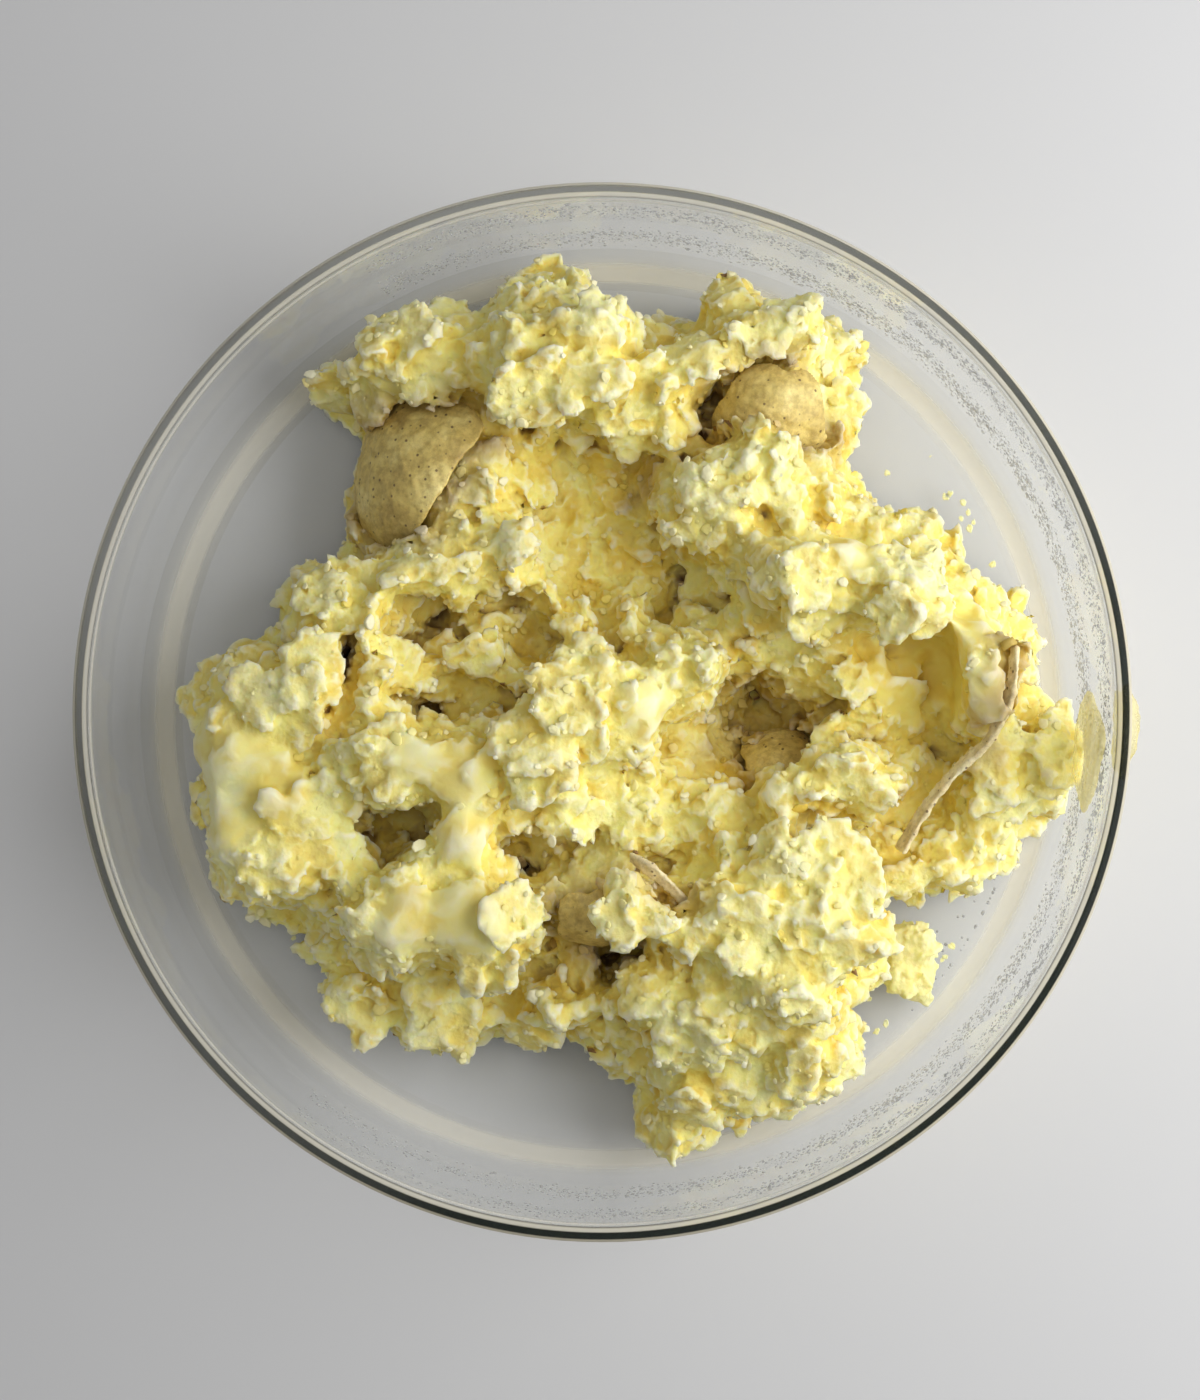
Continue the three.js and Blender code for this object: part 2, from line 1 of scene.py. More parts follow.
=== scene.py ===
# %% [markdown]
# # A clear glass bowl of crushed boiled potato
# The object is a round, straight-sided glass bowl, 200 mm across, holding one loose heap of
# boiled potato that was crushed by hand, with some of its brown skin left in.
# The solid frame gives every place and size. These cells dress it: the bowl is turned again
# with finer steps, the heap gets its torn, crumbly surface, and the skins get their wrinkles.
# Lengths are in metres, so a millimetre is written as 0.001 or as 1 * MM.

# %% Open the frame and note its size
import math
import random

import bmesh
import bpy
import numpy as np
from mathutils import Matrix, Vector, noise
from mathutils.bvhtree import BVHTree
from mathutils.kdtree import KDTree


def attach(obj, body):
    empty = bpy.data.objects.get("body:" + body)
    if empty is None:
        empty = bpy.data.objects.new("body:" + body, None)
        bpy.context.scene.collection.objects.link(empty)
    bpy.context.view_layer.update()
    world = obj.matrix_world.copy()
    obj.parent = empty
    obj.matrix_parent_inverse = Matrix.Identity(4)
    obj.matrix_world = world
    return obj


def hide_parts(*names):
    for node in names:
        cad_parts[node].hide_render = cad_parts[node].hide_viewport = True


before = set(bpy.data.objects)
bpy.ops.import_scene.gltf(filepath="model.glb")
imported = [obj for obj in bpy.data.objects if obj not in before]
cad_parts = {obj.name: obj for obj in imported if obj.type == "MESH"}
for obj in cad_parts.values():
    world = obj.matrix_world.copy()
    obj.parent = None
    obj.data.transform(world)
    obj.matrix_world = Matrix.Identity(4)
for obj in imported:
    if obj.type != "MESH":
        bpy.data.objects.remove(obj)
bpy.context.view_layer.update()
MM = 0.001
noise.seed_set(4)  # left alone, noise_vector takes its offsets from the clock

# %% [markdown]
# ## The viewpoint and the light
# A bowl like this is looked at from straight above, so one long lens hangs over it.
# Everything could be lit evenly, but then crumbs and glass look flat. A broad window-like
# lamp stands to the right instead, low enough to rake over the crumbs, and a weak pale sky
# fills the shadows. The table is a plain pale sheet.

# %% Camera above the bowl
def look_from(place, aim, focal):
    camera = bpy.data.objects.new("camera_above", bpy.data.cameras.new("camera_above"))
    camera.data.lens = focal
    camera.data.clip_start, camera.data.clip_end = 0.01, 20
    camera.location = place
    forward = (Vector(aim) - Vector(place)).normalized()
    right = forward.cross(Vector((0, 1, 0))).normalized()
    turn = Matrix((right, right.cross(forward), -forward)).transposed()
    camera.rotation_euler = turn.to_euler()
    bpy.context.scene.collection.objects.link(camera)
    bpy.context.scene.camera = camera
    return camera


camera = look_from((0.016, -0.011, 0.930), (-0.0002, 0.0021, 0.072), 117.2)
print("camera", [round(v, 3) for v in camera.location], "lens", camera.data.lens)


# %% Window lamp and ceiling lamp
def soft_lamp(name, place, aim, size, power):
    lamp = bpy.data.lights.new(name, "AREA")
    lamp.shape, lamp.size, lamp.energy = "DISK", size, power
    thing = bpy.data.objects.new(name, lamp)
    thing.location = place
    thing.rotation_euler = (Vector(aim) - Vector(place)).to_track_quat("-Z", "Y").to_euler()
    thing.visible_camera = False
    bpy.context.scene.collection.objects.link(thing)


soft_lamp("window", (0.430, 0.050, 0.330), (0.03, 0, 0.02), 0.60, 3.5)
soft_lamp("ceiling", (-0.10, 0.10, 1.30), (0, 0, 0), 0.9, 1.8)
bpy.context.scene.view_settings.view_transform = "Standard"


# %% [markdown]
# ## Helpers for materials
# A material is a small graph of nodes. Writing the graph by hand takes a line for each node
# and each link, so a few short helpers make a node, feed its sockets and join them.

# %% Node helpers
def new_material(name):
    made = bpy.data.materials.new(name)
    made.use_nodes = True
    return made, made.node_tree, made.node_tree.nodes["Principled BSDF"]


def feed(tree, socket, value):
    """Gives a socket a value, or joins it to another node's socket."""
    if isinstance(value, bpy.types.NodeSocket):
        tree.links.new(value, socket)
    else:
        socket.default_value = value


def fill(tree, made, **inputs):
    """Feeds the sockets of a node by name, with _ for a space, or by number, as _0."""
    for key, value in inputs.items():
        socket = int(key[1:]) if key[1:].isdigit() else key.replace("_", " ")
        feed(tree, made.inputs[socket], value)


def node(tree, kind, settings=None, **inputs):
    made = tree.nodes.new("ShaderNode" + kind)
    for key, value in (settings or {}).items():
        setattr(made, key, value)
    fill(tree, made, **inputs)
    return made


def shown_by(tree, shader):
    """Makes this shader the one that the surface shows."""
    tree.links.new(shader.outputs[0], tree.nodes["Material Output"].inputs["Surface"])


# %% Ramps, blends and patterns
def ramp(tree, source, stops):
    """A colour or grey for each level of source."""
    made = node(tree, "ValToRGB", Fac=source)
    bar = made.color_ramp.elements
    while len(bar) < len(stops):
        bar.new(0.5)
    for stop, (at, shade) in zip(bar, stops):
        stop.position = at
        stop.color = (*shade, 1) if isinstance(shade, tuple) else (shade, shade, shade, 1)
    return made.outputs["Color"]


def blend(tree, share, first, second, mode="MIX"):
    made = node(tree, "Mix", {"data_type": "RGBA", "blend_type": mode}, Factor=share)
    for socket, value in ((made.inputs[6], first), (made.inputs[7], second)):
        feed(tree, socket, (*value, 1) if isinstance(value, tuple) else value)
    return made.outputs[2]


def between(tree, value, low, high):
    """0 at low and 1 at high."""
    return node(tree, "MapRange", Value=value, From_Min=low, From_Max=high).outputs[0]


def speckle(tree, size, detail=2.0, rough=0.5, kind="Noise", seed=0.0):
    """A pattern fixed to the object whose grains are about size across."""
    place = node(tree, "TexCoord").outputs["Object"]
    shift = node(tree, "Mapping", _0=place, Location=(seed, seed * 0.7, seed * 0.3)).outputs[0]
    if kind == "Noise":
        made = node(tree, "TexNoise", Vector=shift, Detail=detail, Roughness=rough, Scale=1 / size)
        return made.outputs["Fac"]
    return node(tree, "TexVoronoi", Vector=shift, Scale=1 / size).outputs["Distance"]


def raised(tree, height, depth, share=1.0, under=None):
    made = node(tree, "Bump", Height=height, Distance=depth, Strength=share)
    if under is not None:
        feed(tree, made.inputs["Normal"], under)
    return made.outputs["Normal"]


# %% [markdown]
# ### The sky
# A sky as bright as the table looks to the eye would wash the shadows out. So it gives weak
# light, and looks brighter only where it is seen, mirrored or seen through the glass.

# %% Pale sky
SKY_LIGHT, SKY_SEEN = 0.20, 0.62


def either(tree, first, second):
    added = {"operation": "ADD", "use_clamp": True}
    return node(tree, "Math", added, _0=first, _1=second).outputs[0]


sky = bpy.data.worlds.new("pale_sky")
sky.use_nodes = True
tree = sky.node_tree
ray = node(tree, "LightPath").outputs
mirrored = either(tree, ray["Is Camera Ray"], ray["Is Glossy Ray"])
looked_at = either(tree, mirrored, ray["Is Transmission Ray"])
level = node(tree, "MapRange", Value=looked_at, To_Min=SKY_LIGHT, To_Max=SKY_SEEN).outputs[0]
fill(tree, tree.nodes["Background"], Color=(1, 1, 1, 1), Strength=level)
bpy.context.scene.world = sky
print("sky gives", SKY_LIGHT, "and looks", SKY_SEEN)

# %% [markdown]
# ## The table
# A wide pale sheet, far larger than the view, so that no edge of it shows.

# %% Table sheet
def finished(name, shape, material, smooth=True):
    """Makes an object from a bmesh, with its place in its mesh."""
    mesh = bpy.data.meshes.new(name)
    shape.to_mesh(mesh)
    shape.free()
    mesh.materials.clear()
    mesh.materials.append(material)
    mesh.polygons.foreach_set("use_smooth", [smooth] * len(mesh.polygons))
    thing = bpy.data.objects.new(name, mesh)
    bpy.context.scene.collection.objects.link(thing)
    return thing


pale_sheet, tree, surface = new_material("pale_sheet")
fill(tree, surface, Base_Color=(0.655, 0.655, 0.66, 1), Roughness=0.9)
shape = bmesh.new()
bmesh.ops.create_grid(shape, x_segments=2, y_segments=2, size=4.0)
bmesh.ops.translate(shape, vec=(0, 0, -0.2 * MM), verts=shape.verts)
table = finished("table_sheet", shape, pale_sheet)
print("table", [round(v, 2) for v in table.dimensions])

# %% [markdown]
# ## The glass bowl
# The real bowl is pressed from clear soda glass: a flat floor, a small bend, a nearly straight
# wall and a thick rounded rim. Half of its section is drawn as a few corner points, the corners
# are rounded by a bevel, and the section is spun round the axis. That is how a turned thing is
# best made, because every ring stays a true circle.

# %% Bowl section, rounded and spun
FLOOR = 5  # mm, height of the floor's upper side
WALL_FOOT = 93.8  # mm from the axis to the inside of the wall, at the floor
LEAN, LEAN_OVER = 2.6, 67  # mm that the wall leans out, over this height
BEND = 7.4  # mm, radius of the inner bend
BOWL_SECTION = [  # (distance from the axis, height) and the rounding of each corner, in mm
    ((0, 0), 0), ((92.5, 0), 0.0), ((97.25, 0.0), 9.0), ((98.9, 64.6), 0.7), ((100.0, 65.6), 0.7),
    ((100.0, 72.0), 1.7), ((96.4, 72.0), 1.7), ((WALL_FOOT, FLOOR), BEND), ((0, FLOOR), 0),
]


def glass_bowl_shape():
    shape = bmesh.new()
    corners = [shape.verts.new((r * MM, 0, z * MM)) for (r, z), _ in BOWL_SECTION]
    for a, b in zip(corners, corners[1:]):
        shape.edges.new((a, b))
    for corner, (_, rounding) in zip(corners, BOWL_SECTION):
        if rounding:
            bmesh.ops.bevel(
                shape, geom=[corner], offset=rounding * MM, offset_type="OFFSET", segments=7,
                profile=0.5, affect="VERTICES", material=-1,
            )
    bmesh.ops.spin(
        shape, geom=shape.verts[:] + shape.edges[:], cent=(0, 0, 0), axis=(0, 0, 1),
        angle=math.tau, steps=180, use_merge=True, use_duplicate=False,
    )
    bmesh.ops.remove_doubles(shape, verts=shape.verts, dist=0.01 * MM)
    bmesh.ops.recalc_face_normals(shape, faces=shape.faces)
    return shape


# %% [markdown]
# ### Clear glass
# A bowl this thin hardly bends what is seen through it, so real refraction would cost much time
# for little. Each pane lets light straight through, mirrors more at a slant, and can be hazy.
# Shadows from such a pane come out too dark, so a light ray meets nearly clear glass instead.

# %% A pane of glass
def pane(name, clearness, haze):
    made = bpy.data.materials.new(name)
    made.use_nodes = True
    tree = made.node_tree
    tree.nodes.remove(tree.nodes["Principled BSDF"])
    through = node(tree, "BsdfTransparent", {"name": "through"}, Color=(*clearness, 1))
    mirror = node(tree, "BsdfGlossy", Roughness=0.03, Color=(1, 1, 1, 1))
    slant = node(tree, "LayerWeight", Blend=0.12).outputs["Fresnel"]
    share = ramp(tree, slant, [(0.0, 0.0), (0.05, 0.045), (1.0, 0.30)])
    clear = node(tree, "MixShader", _0=share, _1=through.outputs[0], _2=mirror.outputs[0])
    mist = node(tree, "BsdfDiffuse", {"name": "mist"}, Color=(0.8, 0.8, 0.8, 1))
    haze_and_painted_glow = node(tree, "MixShader", {"name": "haze_and_painted_glow"},
                  _0=haze, _1=clear.outputs[0], _2=mist.outputs[0])
    for_light = node(tree, "BsdfTransparent", Color=(0.985, 0.985, 0.985, 1))
    shadow = node(tree, "LightPath").outputs["Is Shadow Ray"]
    shown_by(tree, node(tree, "MixShader",
                        _0=shadow, _1=haze_and_painted_glow.outputs[0], _2=for_light.outputs[0]))
    return made


# %% [markdown]
# ### Rim and bend
# Seen from above, the thick rim bends light away and shows fine dark and cream rings, and the
# bend under the wall gathers light into a pale ring. A full simulation of those rays is slow
# and noisy, so those dark, cream and pale rings are painted into the glass by distance from the
# axis.

# %% Painted light and dark rings by radius
# The painted rings turn paler away from the lower right.
LOWER_RIGHT = (0.0068, -0.0073, 0)  # a step of about 100 mm that way counts as 1


def from_axis(tree):
    """Distance from the bowl's axis in mm, and how far the spot lies to the lower right, 0 to 1."""
    place = node(tree, "TexCoord").outputs["Object"]
    flat = node(tree, "VectorMath", {"operation": "MULTIPLY"}, _0=place, _1=(1 / MM, 1 / MM, 0))
    length = node(tree, "VectorMath", {"operation": "LENGTH"}, _0=flat.outputs[0])
    along = node(tree, "VectorMath", {"operation": "DOT_PRODUCT"},
                 _0=flat.outputs[0], _1=LOWER_RIGHT)
    return length.outputs["Value"], between(tree, along.outputs["Value"], -0.9, 0.5)


def ringed(tree, length, low, high, stops):
    """A ramp over the radius, whose stops are in mm."""
    span = between(tree, length, low, high)
    return ramp(tree, span, [((r - low) / (high - low), tone) for r, tone in stops])


def ring_painted_glass(name, low, high, painted_ring_stops, painted_glow_stops):
    """A pane with painted dark, cream and pale rings by radius, turning paler at the upper left."""
    made = pane(name, (1, 1, 1), 0.0)
    tree = made.node_tree
    length, side = from_axis(tree)
    painted_ring_colour = ringed(tree, length, low, high, painted_ring_stops)
    # Towards the upper left the painted rings fade to a paler grey.
    paler_painted_colour = blend(tree, 0.55, painted_ring_colour, (0.80, 0.80, 0.76))
    fill(tree, tree.nodes["through"], Color=blend(tree, side, paler_painted_colour, painted_ring_colour))
    fill(tree, tree.nodes["haze_and_painted_glow"], _0=ringed(tree, length, low, high, painted_glow_stops))
    # The haze of these rings shows as a painted cream glow of gathered light.
    fill(tree, tree.nodes["mist"], Color=(0.88, 0.84, 0.72, 1))
    return made


# %% Glass finishes
# Colours of the rim's painted light and dark rings, and of the plain glass between them.
DARK, CREAM, CLEAR = (0.035, 0.042, 0.036), (0.85, 0.80, 0.66), (0.95, 0.95, 0.94)
GREY, OLIVE, BEND_TINT = (0.16, 0.16, 0.14), (0.45, 0.39, 0.24), (0.97, 0.975, 0.975)
RIM_PAINTED_RINGS = [
    (96.1, CLEAR), (96.9, (0.97, 0.97, 0.95)), (97.1, GREY), (97.35, CREAM), (97.9, CREAM),
    (98.1, DARK), (99.3, DARK), (99.5, OLIVE), (100.0, OLIVE),
]
RIM_PAINTED_GLOW = [
    (96.2, 0.02), (96.6, 0.35), (97.0, 0.02), (97.4, 0.40), (97.9, 0.35), (98.1, 0.0), (99.3, 0.0),
    (99.5, 0.45),
]
BEND_PAINTED_GLOW = [(85.5, 0.02), (87.6, 0.10), (88.4, 0.42), (91.0, 0.45), (92.2, 0.12), (93.2, 0.03)]
rim_glass = ring_painted_glass("rim_glass", 96, 100.2, RIM_PAINTED_RINGS, RIM_PAINTED_GLOW)
bend_glass = ring_painted_glass("bend_glass", 84, 95, [(84, BEND_TINT), (95, BEND_TINT)], BEND_PAINTED_GLOW)
wall_glass = pane("wall_glass", (0.975, 0.98, 0.98), 0.03)
print("glass finishes:", rim_glass.name, bend_glass.name, wall_glass.name)

# %% The bowl itself
RIM_FROM = 70.2  # mm, the height where the rim's tints begin
BEND_REACH, BEND_HEIGHT = (85, 94.2), (4.9 * MM, 13 * MM)

bowl = finished("glass_bowl", glass_bowl_shape(), wall_glass)
bowl.data.materials.append(rim_glass)
bowl.data.materials.append(bend_glass)
for face in bowl.data.polygons:
    x, y, z = face.center
    if face.normal.z <= 0.05:
        continue
    if z > RIM_FROM * MM:
        face.material_index = 1
    elif (BEND_REACH[0] < math.hypot(x, y) / MM < BEND_REACH[1]
          and BEND_HEIGHT[0] < z < BEND_HEIGHT[1]):
        face.material_index = 2
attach(bowl, "root")
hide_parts("glass_dish")
print("bowl faces", len(bowl.data.polygons), "box", [round(v / MM, 1) for v in bowl.dimensions])

# %% [markdown]
# ## The potato
# Boiled potato breaks into floury lumps: large pieces keep a few smooth, waxy faces, and every
# broken edge is a mass of crumbs. The frame holds the heap's large form. It could be sculpted
# further by hand, or roughened by noise alone, which looks like gravel. Here a copy of it is
# buried in torn lumps and welded by a voxel remesh. Then its skin is broken into tilted plates,
# and flaky noise in three sizes roughens it everywhere but on the waxy faces.

# %% Where the faces stay smooth
SMOOTH_SPOTS = [  # middle (x, y, z) and radius in mm
    ((-74, -9, 33), 10), ((-73, -20, 33), 9), ((-66, -14, 43), 8), ((-36, -9, 47), 6),
    ((-28, -12, 47), 7), ((-27, -24, 44), 6), ((-38, -41, 48), 7), ((-27, -40, 47), 8),
    ((64, 7, 30), 11), ((70, 14, 36), 8), ((60, 16, 38), 7), ((30, -14, 38), 5),
    ((76, 3, 45), 7), ((48, 30, 44), 6), ((30, 22, 38), 5), ((9, 0, 44), 6),
]


def smoothness(points):
    """1 on the waxy faces, 0 elsewhere, with a wandering edge."""
    calm = np.zeros(len(points))
    wander = np.array([noise.noise(Vector(p) / (4 * MM)) for p in points]) * 0.35
    for (x, y, z), radius in SMOOTH_SPOTS:
        away = np.linalg.norm(points - np.array((x, y, z)) * MM, axis=1) / (radius * MM)
        calm = np.maximum(calm, np.clip((1.1 + wander - away) / 0.2, 0, 1))
    return calm


# %% Mesh helpers
def merged_copy(name):
    """A bmesh of a frame node with its loose triangles joined."""
    shape = bmesh.new()
    shape.from_mesh(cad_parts[name].data)
    bmesh.ops.remove_doubles(shape, verts=shape.verts, dist=0.01 * MM)
    return shape


def with_modifier(shape, kind, **settings):
    """The shape after one modifier, as a new bmesh."""
    mesh = bpy.data.meshes.new("before")
    shape.to_mesh(mesh)
    shape.free()
    thing = bpy.data.objects.new("before", mesh)
    bpy.context.scene.collection.objects.link(thing)
    change = thing.modifiers.new("change", kind)
    for key, value in settings.items():
        setattr(change, key, value)
    ready = thing.evaluated_get(bpy.context.evaluated_depsgraph_get())
    result = bpy.data.meshes.new_from_object(ready)
    bpy.data.objects.remove(thing)
    after = bmesh.new()
    after.from_mesh(result)
    bpy.data.meshes.remove(result)
    return after


def welded(shape, voxel):
    """Fuses everything in the bmesh into one skin of even quads."""
    return with_modifier(shape, "REMESH", mode="VOXEL", voxel_size=voxel, use_smooth_shade=True)


def thinned(shape, triangles):
    """Spends faces where the surface bends and saves them where it is flat."""
    bmesh.ops.triangulate(shape, faces=shape.faces)
    return with_modifier(shape, "DECIMATE", ratio=min(1.0, triangles / len(shape.faces)))


def in_one_piece(shape):
    """Keeps the largest island, since the weld leaves specks that thinning crushes flat."""
    left, islands = set(shape.verts), []
    while left:
        island, edge = set(), {left.pop()}
        while edge:
            island |= edge
            edge = {e.other_vert(v) for v in edge for e in v.link_edges} - island
        left -= island
        islands.append(island)
    largest = max(islands, key=len)
    bmesh.ops.delete(shape, geom=[v for v in shape.verts if v not in largest], context="VERTS")
    return shape


# %% Places and normals as arrays
def places(shape):
    return np.array([v.co for v in shape.verts])


def normals(shape):
    shape.normal_update()
    return np.array([v.normal for v in shape.verts])


def move_to(shape, spots):
    for v, spot in zip(shape.verts, spots):
        v.co = spot


# %% [markdown]
# ### Rough relief
# Plain noise makes round bumps like cauliflower. Torn potato has sharp little crests and faces
# that lean every way, so one pattern folds the noise into crests, and another gives each small
# patch of the surface a shift and a tilt of its own.

# %% Bumps and crests
def ragged(point, size, seed):
    """Uneven noise whose bumps are about size across, between about -1 and 1."""
    spot = point / size + Vector((seed, seed * 1.7, -seed))
    spot = spot + noise.noise_vector(spot * 1.3) * 0.4
    return noise.noise(spot) * 1.6


def flaky(point, size, seed):
    """Noise with sharp crests, like the edges of little flakes."""
    spot = point / size + Vector((seed * 0.9, seed, -seed))
    spot = spot + noise.noise_vector(spot * 1.5) * 0.35
    return 0.8 - abs(noise.noise(spot)) * 4.2


def roughened(shape, layers, calm):
    """Moves each vertex along its normal by the sum of layers (pattern, size, height, seed)."""
    spots, outward = places(shape), normals(shape)
    lift = np.zeros(len(spots))
    for pattern, size, height, seed in layers:
        lift += np.array([pattern(Vector(p), size * MM, seed) for p in spots]) * height * MM
    lift *= 1 - 0.93 * calm
    move_to(shape, spots + outward * lift[:, None])


# %% Torn plates
SPACING = 0.60  # mm between the vertices of the welded heap


def scattered(rng, spread):
    return Vector((rng.gauss(0, spread), rng.gauss(0, spread), rng.gauss(0, spread)))


def plates(spots, outward, size, height, seed):
    """Breaks the surface into torn plates. Gives each spot's shift and its plate's tone, 0 to 1."""
    rng = random.Random(seed)
    area = len(spots) * SPACING**2 * 0.9
    chosen = rng.sample(range(len(spots)), int(area / size**2))
    tree = KDTree(len(chosen))
    for k, i in enumerate(chosen):
        tree.insert(spots[i], k)
    tree.balance()
    lifts = [rng.uniform(-1, 1) * height * MM for _ in chosen]
    leans = [scattered(rng, 1) * 0.22 * height / size * 2 for _ in chosen]
    ways = [(Vector(outward[i]) + Vector((rng.gauss(0, 0.3), rng.gauss(0, 0.3), 0.3))).normalized()
            for i in chosen]
    tones = np.array([rng.random() for _ in chosen])
    shifts, found = np.zeros_like(spots), np.zeros(len(spots), int)
    for i, p in enumerate(spots):
        p = Vector(p)
        torn = noise.noise_vector(p / (size * 0.45 * MM)) * size * 0.22
        torn = torn + noise.noise_vector(p / (1.1 * MM)) * 0.55
        middle, k, _ = tree.find(p + torn * MM)
        shifts[i] = ways[k] * (lifts[k] + leans[k].dot(p - middle))
        found[i] = k
    return shifts, tones[found]


# %% Room inside the bowl
HEAP_FOOT = 93.9  # mm from the axis that the heap may reach at the foot of the wall


def inside_bowl(spots, gap=0.25):
    """Keeps points off the floor and wall of the bowl."""
    spots[:, 2] = np.maximum(spots[:, 2], (FLOOR + gap) * MM)
    radius = np.linalg.norm(spots[:, :2], axis=1)
    low = np.clip((FLOOR + BEND - spots[:, 2] / MM) / BEND, 0, 1)
    bend = BEND * (1 - np.sqrt(np.clip(1 - low**2, 0, 1)))
    limit = (HEAP_FOOT + (spots[:, 2] / MM - FLOOR) * LEAN / LEAN_OVER - bend - gap) * MM
    pull = np.minimum(1, limit / np.maximum(radius, 1e-6))
    spots[:, :2] *= pull[:, None]
    return spots


# %% [markdown]
# ### Torn lumps
# A lump of crushed potato is a slab with a ragged outline. Balls or cubes would look like
# popcorn or gravel. So each one starts as a short cone, its rim is pulled in and out, and its
# top is inset and made uneven.

# %% One torn lump
def torn_flake(shape, size, place, rng, points=14):
    """Adds a slab with a ragged outline, and tells how many vertices it has."""
    made = bmesh.ops.create_cone(
        shape, cap_ends=True, segments=points, radius1=0.75, radius2=1.0, depth=1.0,
    )["verts"]
    phase = rng.uniform(0, 9)
    reach = []
    for k in range(points):
        turn = math.tau * k / points
        outline = Vector((math.cos(turn) * 1.2, math.sin(turn) * 1.2, phase))
        reach.append(1 + 0.55 * noise.noise(outline) + rng.uniform(-0.14, 0.14))
    for v in made:
        turn = math.atan2(v.co.y, v.co.x) % math.tau
        v.co.xy *= reach[round(turn / math.tau * points) % points]
    top = max({f for v in made for f in v.link_faces}, key=lambda f: f.calc_center_median().z)
    bmesh.ops.inset_region(shape, faces=[top], thickness=0.22, depth=0.16)
    for v in top.verts:
        v.co.z += rng.uniform(-0.18, 0.12)
    whole = shape.verts[-3 * points:]  # the foot, the rim and the inset
    bmesh.ops.transform(shape, verts=whole, matrix=place @ Matrix.Diagonal((*size, 1)))
    return len(whole)


# %% Many small shapes
def joined(count, make, batch=40):
    """Makes count small shapes in short batches, since one long bmesh slows every operator."""
    whole = bmesh.new()
    for start in range(0, count, batch):
        part = bmesh.new()
        for k in range(start, min(start + batch, count)):
            make(part, k)
        mesh = bpy.data.meshes.new("batch")
        part.to_mesh(mesh)
        part.free()
        whole.from_mesh(mesh)
        bpy.data.meshes.remove(mesh)
    return whole


def tipped(normal, rng, spread):
    """A turn that stands a lump on the surface, tipped a little and spun at random."""
    lean = scattered(rng, spread)
    spin = Matrix.Rotation(rng.uniform(0, math.tau), 3, "Z").to_quaternion()
    upright = (normal + Vector((0, 0, 0.8)) + lean).normalized().to_track_quat("Z", "Y")
    return (upright @ spin).to_matrix().to_4x4()


def spots_on(shape, count, rng, keep=lambda middle, normal: True):
    """Random points on the faces, chosen by area, with the normal at each."""
    faces = [f for f in shape.faces if keep(f.calc_center_median(), f.normal)]
    chosen = rng.choices(faces, [f.calc_area() for f in faces], k=count)
    spots = []
    for f in chosen:
        a, b = sorted((rng.random(), rng.random()))
        p, q, r = (v.co for v in f.verts[:3])
        spots.append((p * a + q * (b - a) + r * (1 - b), f.normal.copy()))
    return spots


# %% The heap, drawn in to make room for its lumps
DRAWN_IN = 2.7  # mm, and 1.7 mm less on the waxy faces, where no lumps lie


def shrunk_heap():
    heap = merged_copy("potato_heap")
    bmesh.ops.triangulate(heap, faces=heap.faces)
    spots = places(heap)
    shrink = np.where(spots[:, 2] > 5.6 * MM, DRAWN_IN - 1.7 * smoothness(spots), 0.0) * MM
    move_to(heap, spots - normals(heap) * shrink[:, None])
    heap.normal_update()
    return heap


# %% Where the lumps lie
SKINS = ["skin_patch_west", "skin_patch_east", "skin_scrap_middle", "skin_scrap_hollow",
         "skin_ribbon_east", "skin_ribbon_south"]


def skin_sheets():
    """All the skins of the frame in one tree, to keep lumps off them."""
    sheets = bmesh.new()
    for name in SKINS:
        sheets.from_mesh(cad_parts[name].data)
    return BVHTree.FromBMesh(sheets)


def scattered_lumps(heap, count, rng):
    """(radius, thickness, place) of each torn lump. None lies on a waxy face or on a skin."""
    made, skins = [], skin_sheets()
    for spot, normal in spots_on(heap, count, rng, lambda p, n: n.z > -0.4 and p.z > 6 * MM):
        if smoothness(np.array([spot]))[0] > 0.4:
            continue
        radius = min(rng.lognormvariate(0.95, 0.50), 8.0) * MM
        if skins.find_nearest(spot)[3] < radius * 0.75 + 0.8 * MM:
            continue
        thick = radius * rng.uniform(0.45, 0.85)
        turn = tipped(normal, rng, 0.30)
        sunk = spot + normal * rng.uniform(-0.45, 0.15) * thick
        made.append((radius, thick, Matrix.Translation(sunk) @ turn))
    return made


# %% Weld the lumps onto the heap
def with_lumps(heap, lumps, rng):
    def add(shape, k):
        radius, thick, place = lumps[k]
        size = (radius * rng.uniform(0.9, 1.5), radius, thick)
        torn_flake(shape, size, place, rng, points=22)

    mesh = bpy.data.meshes.new("lumps")
    loose = joined(len(lumps), add)
    loose.to_mesh(mesh)
    loose.free()
    heap.from_mesh(mesh)
    bpy.data.meshes.remove(mesh)
    return heap


rng = random.Random(41)
core = shrunk_heap()
lumps = scattered_lumps(core, 2900, rng)
core = welded(with_lumps(core, lumps, rng), SPACING * MM)
print(len(lumps), "lumps welded:", len(core.verts), "vertices")

# %% Break the skin into plates
PLATES = [(9.0, 0.8, 3), (4.2, 0.35, 4)]  # size and height in mm, and a seed

calm = smoothness(places(core))
tone = np.zeros(len(calm))
for size, height, seed in PLATES:
    shifts, tones = plates(places(core), normals(core), size, height, seed)
    move_to(core, places(core) + shifts * (1 - 0.85 * calm)[:, None])
    tone += tones * 0.5
    print("plates of", size, "mm")
bmesh.ops.smooth_vert(
    core, verts=core.verts, factor=0.35, use_axis_x=True, use_axis_y=True, use_axis_z=True,
)

# %% Roughen it and rest it on the glass
HEAP_TRIANGLES = 196000
FLAKES = [(flaky, 4.6, 0.30, 1.1), (flaky, 2.1, 0.26, 7.9), (ragged, 1.2, 0.19, 5.7)]

roughened(core, FLAKES, calm * 0.75)
layer = core.verts.layers.float.new("tone")
for v, level in zip(core.verts, tone):
    v[layer] = level
move_to(core, inside_bowl(places(core)))
core = in_one_piece(thinned(core, HEAP_TRIANGLES))
print("carved heap:", len(core.verts), "vertices,", len(core.faces), "triangles")
